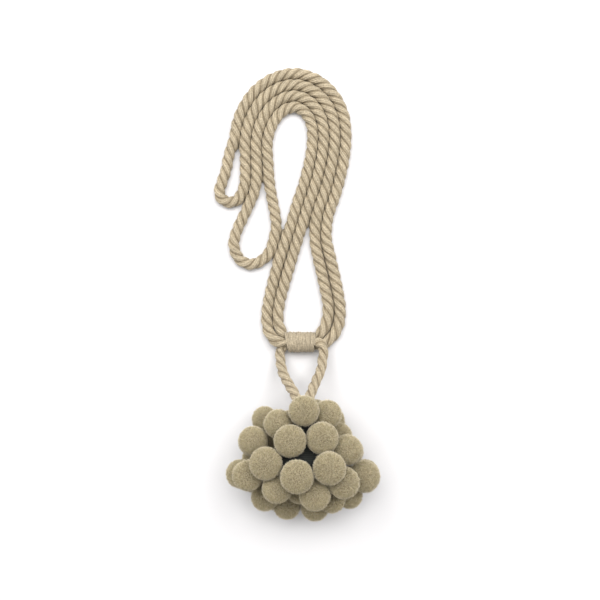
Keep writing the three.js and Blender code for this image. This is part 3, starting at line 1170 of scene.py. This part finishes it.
@dataclass
class Pompom(Piece):
    """One ball of clipped yarn: a heart painted dark as the shade deep in the pile, and tufts of pile that
    end on the ball's surface.
    """

    seed: int = 0
    tufts: int = 2700
    pile: float = 0.0015
    proud: float = 0.0003
    heart_detail: int = 3
    heart_depth: float = 0.7
    heart_lot: float = 0.5
    scatter: float = 0.6
    tuft_width: float = 0.0006
    width_spread: tuple[float, float] = (0.8, 1.15)
    uneven_clip: float = 0.0003
    clip_limits: tuple[float, float] = (-0.0009, 0.0005)
    lean: float = 0.0003
    hairs: int = 450
    hair_width: float = 0.00011
    hair_reach: float = 0.0005
    hair_spread: tuple[float, float] = (0.3, 1.0)
    hair_lots: tuple[float, float] = (0.4, 1.0)
    # Painted depth shade at the hairs' roots
    hair_root: float = 0.6
    floor_gap: float = 0.0002

    def ball(self) -> tuple[Array, float]:
        """Reads the ball's middle and radius from its solid, which may be flat underneath.

        Returns:
            Its middle and radius.
        """
        low, high = (np.array(corner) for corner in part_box(self.replaced[0]))
        radius = float(max(high[:2] - low[:2])) / 2
        return np.array((*(low + high)[:2] / 2, high[2] - radius)), radius

    def build(self, material: bpy.types.Material) -> bpy.types.Object:
        """Models the ball as joined tufts round a heart.

        Args:
            material: its finish.

        Returns:
            The ball's object.
        """
        centre, radius = self.ball()
        rng = np.random.default_rng(self.seed)
        groups = [
            self.heart(radius),
            self.clipped_tufts(rng, radius),
            self.stray_hairs(rng, radius),
        ]
        offsets = np.cumsum([0] + [len(points) for points, *_ in groups])
        places = np.vstack([points for points, *_ in groups]) + centre
        places[:, 2] = np.maximum(places[:, 2], self.floor_gap)
        faces = np.vstack([corners + offset for (_, corners, *_), offset in zip(groups, offsets)])
        mesh = bpy.data.meshes.new(self.name)
        mesh.from_pydata(places.tolist(), [], faces.tolist())
        for label, column in ((PileFinish.SHADE_BY_DEPTH, 2), (PileFinish.LOT, 3)):
            values = np.concatenate([group[column] for group in groups]).astype(np.float32)
            mesh.attributes.new(label, "FLOAT", "POINT").data.foreach_set("value", values)
        return self.seated(mesh, material)

    def heart(self, radius: float) -> PileGroup:
        """Makes the ball that the roots stand on, painted dark as the shade deep in the pile.

        Args:
            radius: the pompom's radius.

        Returns:
            Points, faces, and each point's painted depth shade and lot.
        """
        bm = bmesh.new()
        inner_radius = radius - self.pile * self.heart_depth
        bmesh.ops.create_icosphere(bm, subdivisions=self.heart_detail, radius=inner_radius)
        bm.verts.index_update()
        points = np.array([vert.co for vert in bm.verts])
        faces = np.array([[vert.index for vert in face.verts] for face in bm.faces])
        bm.free()
        # The heart takes the darkest painted shade
        return points, faces, np.zeros(len(points)), np.full(len(points), self.heart_lot)

    def clipped_tufts(self, rng: np.random.Generator, radius: float) -> PileGroup:
        """Spreads the tufts over the ball: wide at the root, leaning a little and unevenly clipped.

        Args:
            rng: source of the small differences.
            radius: the pompom's radius.

        Returns:
            Points, faces, and each point's painted depth shade and lot.
        """
        number = np.arange(self.tufts) + 0.5
        height = 1.0 - 2.0 * number / self.tufts
        turn = GOLDEN_TURN * number + rng.uniform(0.0, math.tau)
        level = np.sqrt(1.0 - height**2)
        outwards = np.column_stack((level * np.cos(turn), level * np.sin(turn), height))
        outwards = unit(outwards + rng.normal(0.0, self.scatter / math.sqrt(self.tufts), outwards.shape))
        clip = np.clip(rng.normal(0.0, self.uneven_clip, (self.tufts, 1)), *self.clip_limits)
        width = self.tuft_width * rng.uniform(*self.width_spread, (self.tufts, 1))
        ends = outwards * (radius + self.proud + clip) + rng.normal(0.0, self.lean, outwards.shape)
        shape = spikes(rng, outwards * (radius - self.pile), ends, width)
        # Painted shade: roots dark, tips light
        depth_shade = np.tile((0.0, 0.0, 0.0, 1.0), self.tufts)
        return *shape, depth_shade, np.repeat(rng.uniform(0.0, 1.0, self.tufts), SPIKE_CORNERS)

    def stray_hairs(self, rng: np.random.Generator, radius: float) -> PileGroup:
        """Spreads fine hairs that stand a little out of the pile.

        Args:
            rng: source of the small differences.
            radius: the pompom's radius.

        Returns:
            Points, faces, and each point's painted depth shade and lot.
        """
        outwards = unit(rng.normal(0.0, 1.0, (self.hairs, 3)))
        reach = radius + self.proud + self.hair_reach * rng.uniform(*self.hair_spread, (self.hairs, 1))
        ends = outwards * reach + rng.normal(0.0, self.lean, outwards.shape)
        width = np.full((self.hairs, 1), self.hair_width)
        shape = spikes(rng, outwards * (radius - self.pile / 2), ends, width)
        # Painted shade: hair roots partly dark, tips light
        depth_shade = np.tile((self.hair_root, self.hair_root, self.hair_root, 1.0), self.hairs)
        return *shape, depth_shade, np.repeat(rng.uniform(*self.hair_lots, self.hairs), SPIKE_CORNERS)


@dataclass(frozen=True)
class Studio:
    """The pale table, the soft light and the camera straight above."""

    camera_place: Point = (0.0043, -0.0084, 0.717)
    lens: float = 50.0
    table_reach: float = 12.0
    table_drop: float = 0.0002
    table_colour: Colour = (0.73, 0.72, 0.725)
    table_roughness: float = 0.9
    sky: float = 0.58
    key_power: float = 20.4
    key_places: tuple[Point, ...] = ((-0.5, 0.6, 1.52), (0.5, 0.6, 1.52))
    key_size: float = 1.1

    def camera(self) -> None:
        """Hangs the camera over the tieback."""
        lens = bpy.data.cameras.new("overhead_camera")
        lens.lens = self.lens
        camera = bpy.data.objects.new("overhead_camera", lens)
        camera.location = self.camera_place
        bpy.context.scene.collection.objects.link(camera)
        bpy.context.scene.camera = camera

    def table(self) -> None:
        """Lays the white table under the tieback."""
        bm = bmesh.new()
        bmesh.ops.create_grid(bm, x_segments=1, y_segments=1, size=self.table_reach)
        bmesh.ops.translate(bm, verts=bm.verts, vec=(0.0, 0.0, -self.table_drop))
        mesh = bpy.data.meshes.new("table")
        bm.to_mesh(mesh)
        bm.free()
        board = NodeBoard("white_table")
        board.set_shader(base_color=(*self.table_colour, 1.0), roughness=self.table_roughness)
        mesh.materials.append(board.material)
        table = bpy.data.objects.new("table", mesh)
        bpy.context.scene.collection.objects.link(table)

    def light(self) -> None:
        """Lights the table evenly, with two large soft lights from beyond the arch."""
        world = bpy.data.worlds.new("soft_room")
        world.use_nodes = True
        background = world.node_tree.nodes["Background"]
        background.inputs["Color"].default_value = (1.0, 1.0, 1.0, 1.0)
        background.inputs["Strength"].default_value = self.sky
        bpy.context.scene.world = world
        lamp = bpy.data.lights.new("key_light", "AREA")
        lamp.size = self.key_size
        lamp.energy = self.key_power
        for place in self.key_places:
            key = bpy.data.objects.new("key_light", lamp)
            key.location = place
            key.rotation_euler = (-Vector(place)).to_track_quat("-Z", "Y").to_euler()
            bpy.context.scene.collection.objects.link(key)
        bpy.context.scene.view_settings.view_transform = "Standard"


def main() -> None:
    """Builds the tieback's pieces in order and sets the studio."""
    logging.basicConfig(level=logging.INFO)
    studio = Studio()
    studio.camera()
    rope = ROPE_FINISH.material()
    EmbraceRope.laid_out().build(rope)
    TasselCord.laid_out().build(rope)
    Binding("wound_binding", Slot.BINDING, ("binding",)).build(BINDING_FINISH.material())
    TasselCore("wound_core", Slot.CORE, ("tassel_core",)).build(CORE_FINISH.material())
    pile = PILE_FINISH.material()
    nodes = sorted(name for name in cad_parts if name.startswith("pompom_"))
    for number, node in enumerate(nodes, start=1):
        Pompom(f"clipped_{node}", Slot.PILE, (node,), seed=number).build(pile)
    studio.table()
    studio.light()


if __name__ == "__main__":
    main()
